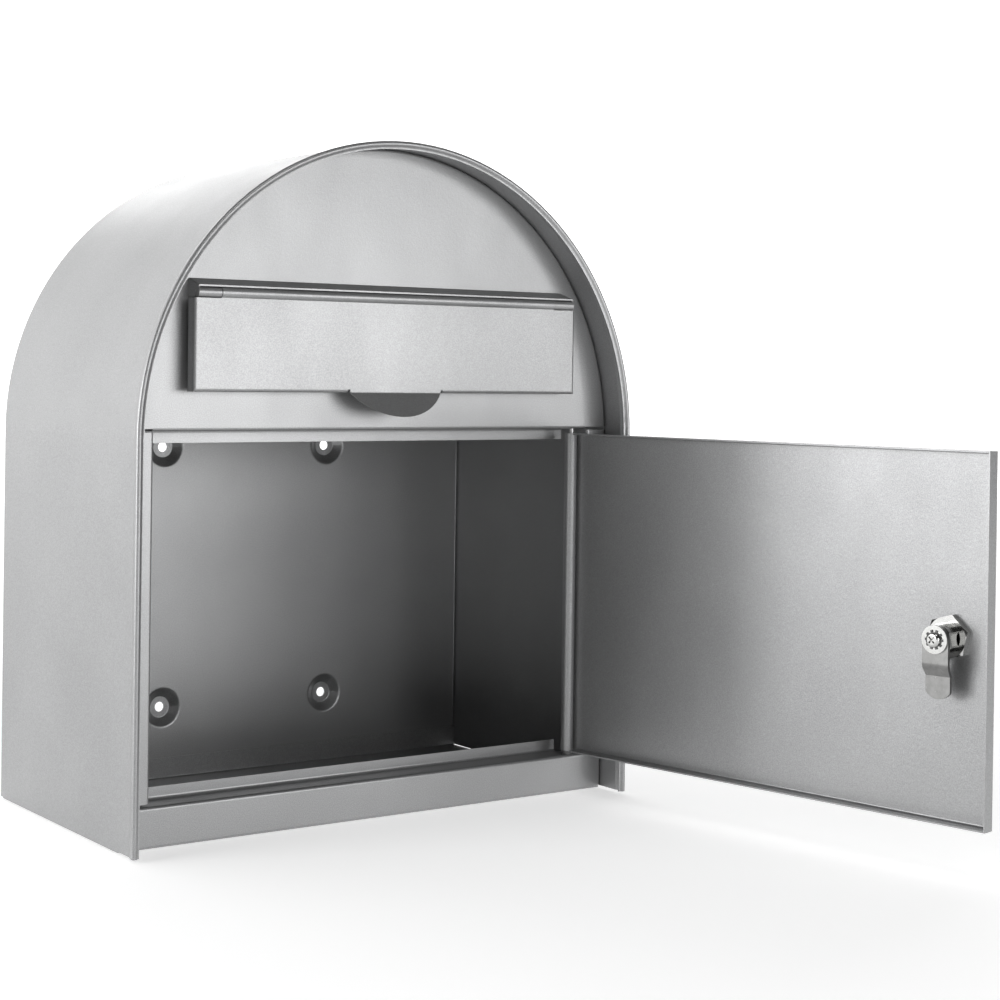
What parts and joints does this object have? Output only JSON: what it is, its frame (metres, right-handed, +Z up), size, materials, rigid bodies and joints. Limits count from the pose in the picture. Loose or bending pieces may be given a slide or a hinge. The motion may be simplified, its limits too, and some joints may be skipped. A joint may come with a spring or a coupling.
{
  "type": "wall mounted mailbox",
  "caption": "Arched sheet-metal wall mailbox with a hooded mail slot and swinging flap, a side-hinged lockable front door and dished screw feet at the back.",
  "frame": {"origin": "centre of the four wall screw holes, on the wall plane", "axes": "+X right seen from the front, +Y to the wall, +Z up; the door's side faces -Y"},
  "size_m": [0.44, 0.5372, 0.4706],
  "materials": {
    "powder_coat": "satin metallic silver-grey powder coat",
    "rod_steel": "drawn rod",
    "bush_plastic": "matt",
    "lock_chrome": "nickel plate",
    "cam_steel": "zinc plate",
    "dark_steel": "oiled spring steel"
  },
  "bodies": {
    "case": {"body_wrap": "powder_coat", "back_panel": "powder_coat", "floor_tray": "powder_coat", "upper_panel": "powder_coat", "jamb_left": "powder_coat", "jamb_right": "powder_coat", "slot_hood": "powder_coat", "flap_rod": "rod_steel", "rod_sleeve_left": "powder_coat", "rod_sleeve_right": "powder_coat", "door_hinge_rod": "rod_steel"},
    "mail_flap": {"flap": "powder_coat"},
    "door": {"door_panel": "powder_coat", "hinge_bush_upper": "bush_plastic", "hinge_bush_lower": "bush_plastic", "lock_body": "lock_chrome", "lock_nut": "lock_chrome"},
    "key_cam": {"lock_plug": "lock_chrome", "lock_cam": "cam_steel", "lock_washer": "lock_chrome", "lock_star_washer": "dark_steel", "lock_screw": "lock_chrome"}
  },
  "joints": [
    {"name": "door_hinge", "type": "hinge", "parent": "case", "child": "door", "pos_m": [0.171, -0.1933, 0], "axis": [0, 0, 1], "range_deg": [-100.2, 20]},
    {"name": "flap_hinge", "type": "hinge", "parent": "case", "child": "mail_flap", "pos_m": [0, -0.2106, 0.209], "axis": [-1, 0, 0], "range_deg": [0, 80]},
    {"name": "lock_turn", "type": "hinge", "parent": "door", "child": "key_cam", "pos_m": [0.22097, -0.5066, -0.0049], "axis": [-0.9842, -0.1771, 0], "range_deg": [0, 90]}
  ]
}
